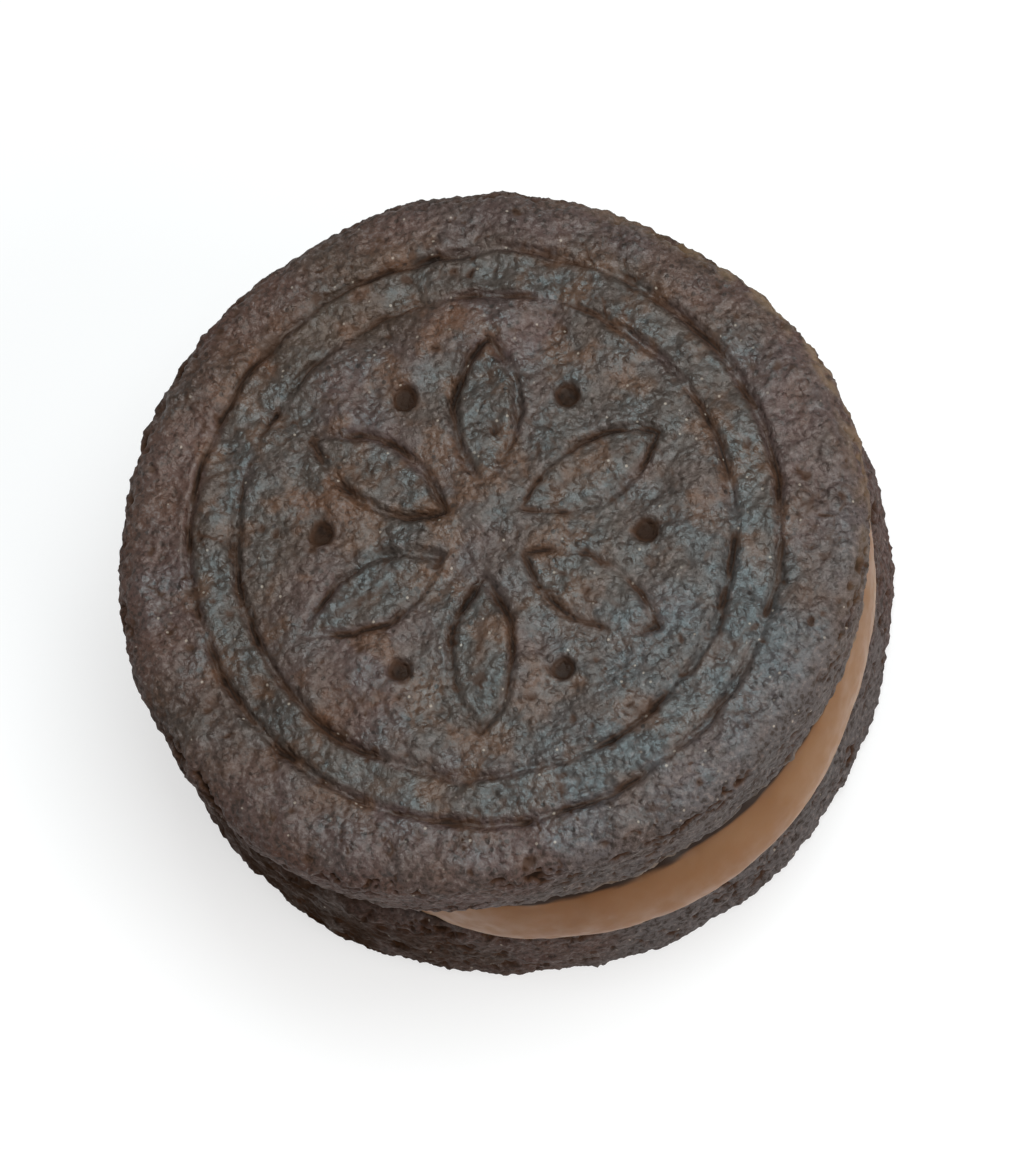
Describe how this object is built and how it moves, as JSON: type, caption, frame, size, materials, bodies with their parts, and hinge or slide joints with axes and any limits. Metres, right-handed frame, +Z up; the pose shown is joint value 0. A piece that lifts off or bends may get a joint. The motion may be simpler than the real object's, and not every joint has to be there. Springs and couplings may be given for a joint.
{
  "type": "chocolate sandwich cookie",
  "caption": "Chocolate sandwich cookie: thick stamped cocoa biscuits round a deep layer of tan cream, lying flat.",
  "frame": {"origin": "on the table under the middle of the cookie as it lies flat", "axes": "+Z up through the layers; +X along the slightly longer diameter; -Y towards the side where the cream shows"},
  "size_m": [0.0475, 0.0452, 0.0276],
  "materials": {
    "cocoa_biscuit": "baked cocoa dough: dark brown, matt and finely granular, with a faint cool sheen",
    "cream": "smooth tan cream with a soft sheen"
  },
  "bodies": {
    "root": {"upper_biscuit": "cocoa_biscuit", "cream": "cream", "lower_biscuit": "cocoa_biscuit"}
  },
  "joints": []
}
